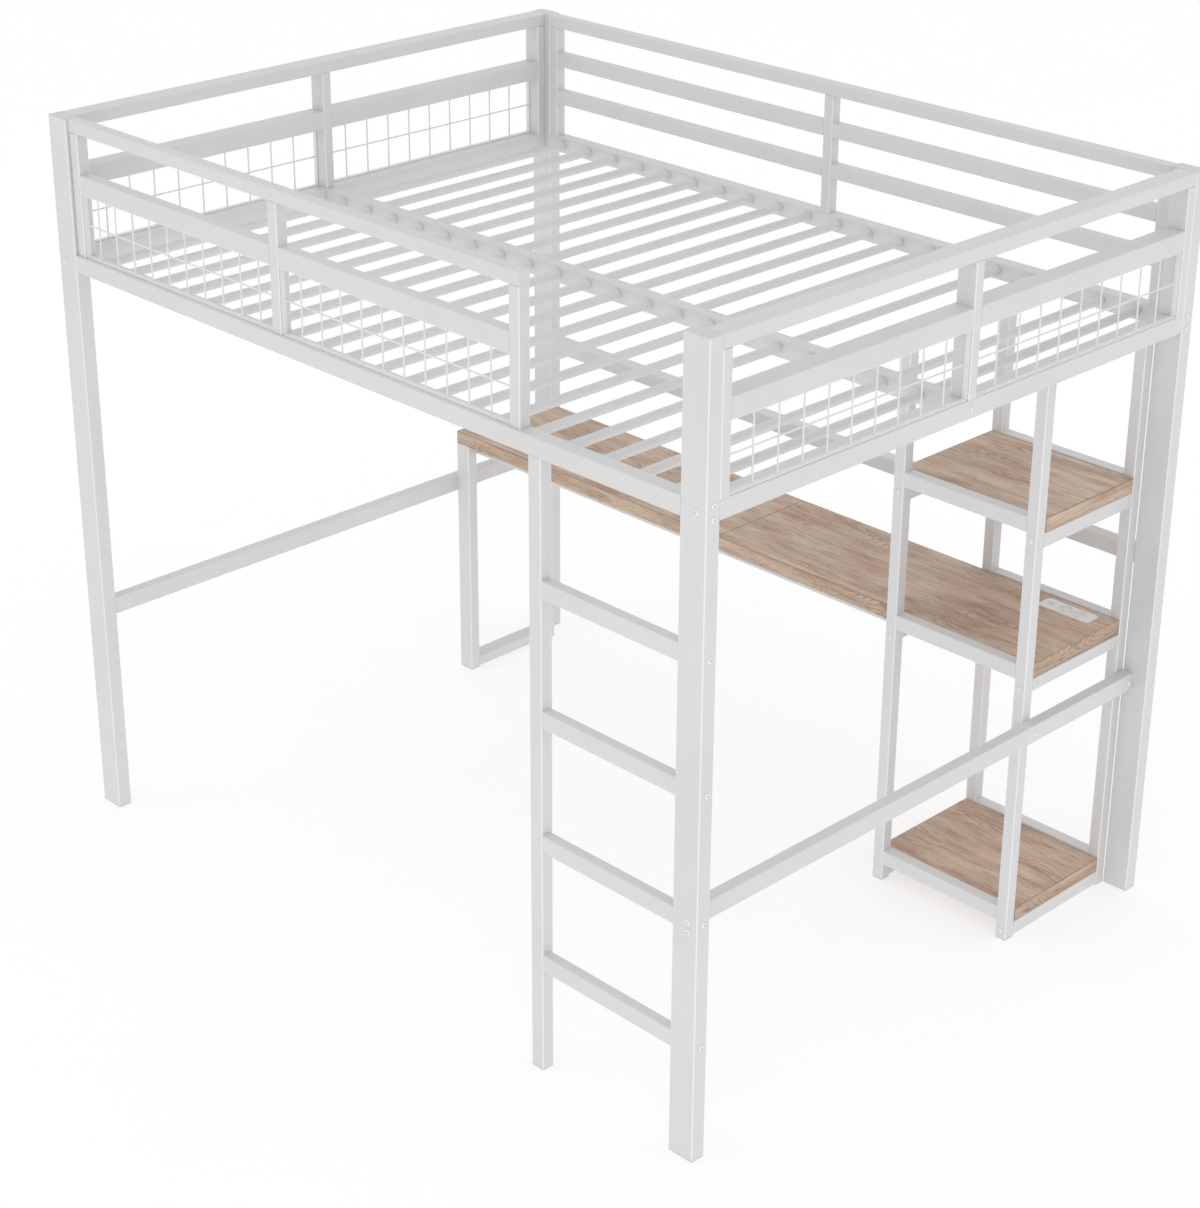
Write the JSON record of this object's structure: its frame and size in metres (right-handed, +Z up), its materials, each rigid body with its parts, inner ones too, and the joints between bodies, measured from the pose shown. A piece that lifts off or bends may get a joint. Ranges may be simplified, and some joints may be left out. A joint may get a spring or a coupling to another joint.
{
  "type": "loft bed with desk",
  "caption": "White metal loft bed with a slatted deck, mesh and bar guards, a side ladder, a wood-look desk top with a power outlet and an open shelf unit below.",
  "frame": {"origin": "on the floor, at the middle of the bed", "axes": "+X along the bed towards the ladder and shelf end, +Y across it from the ladder side to the desk side, +Z up"},
  "size_m": [2.1832, 1.6252, 1.872],
  "materials": {
    "white_metal": "white powder coat on steel tube, satin",
    "oak_board": "matt oak-look laminate on particle board",
    "dowel_wood": "plain beech",
    "outlet_plastic": "smooth moulded white plastic",
    "white_plastic": "moulded white plastic",
    "bolt_steel": "white-coated steel",
    "zinc_steel": "zinc-plated steel"
  },
  "bodies": {
    "root": {"board_screws": "bolt_steel", "centre_beam": "white_metal", "desk_bearer_front": "white_metal", "desk_bearer_rear": "white_metal", "desk_board_dowels": "dowel_wood", "desk_board_left": "oak_board", "desk_board_right": "oak_board", "desk_leg_cross_tubes": "white_metal", "desk_leg_front": "white_metal", "desk_leg_rear": "white_metal", "end_rail_left": "white_metal", "end_rail_right": "white_metal", "foot_glides": "white_plastic", "frame_bolts": "bolt_steel", "furniture_bolts": "bolt_steel", "guard_bars_rear": "white_metal", "guard_mesh_front": "white_metal", "guard_mesh_left": "white_metal", "guard_mesh_right": "white_metal", "guard_mid_rails_front": "white_metal", "guard_mid_rails_left": "white_metal", "guard_mid_rails_right": "white_metal", "guard_top_rail_front": "white_metal", "guard_top_rail_left": "white_metal", "guard_top_rail_rear": "white_metal", "guard_top_rail_right": "white_metal", "guard_uprights_front": "white_metal", "guard_uprights_left": "white_metal", "guard_uprights_rear": "white_metal", "guard_uprights_right": "white_metal", "ladder_rungs": "white_metal", "ladder_stile": "white_metal", "lower_rail_left": "white_metal", "lower_rail_right": "white_metal", "outlet_charging_ports": "outlet_plastic", "outlet_cord_inlet": "outlet_plastic", "outlet_face": "outlet_plastic", "outlet_housing": "outlet_plastic", "outlet_sockets": "outlet_plastic", "post_front_left": "white_metal", "post_front_right": "white_metal", "post_rear_left": "white_metal", "post_rear_right": "white_metal", "rail_brackets": "zinc_steel", "rail_end_plugs": "zinc_steel", "rear_brace_rail": "white_metal", "shelf_board_bottom": "oak_board", "shelf_board_top": "oak_board", "shelf_posts_front": "white_metal", "shelf_posts_rear": "white_metal", "shelf_rails_front": "white_metal", "shelf_rails_rear": "white_metal", "shelf_side_plugs": "zinc_steel", "shelf_side_rails": "white_metal", "side_rail_front": "white_metal", "side_rail_rear": "white_metal", "slat_end_plugs": "white_plastic", "slats_front": "white_metal", "slats_rear": "white_metal", "tube_top_caps": "white_plastic"}
  },
  "joints": []
}
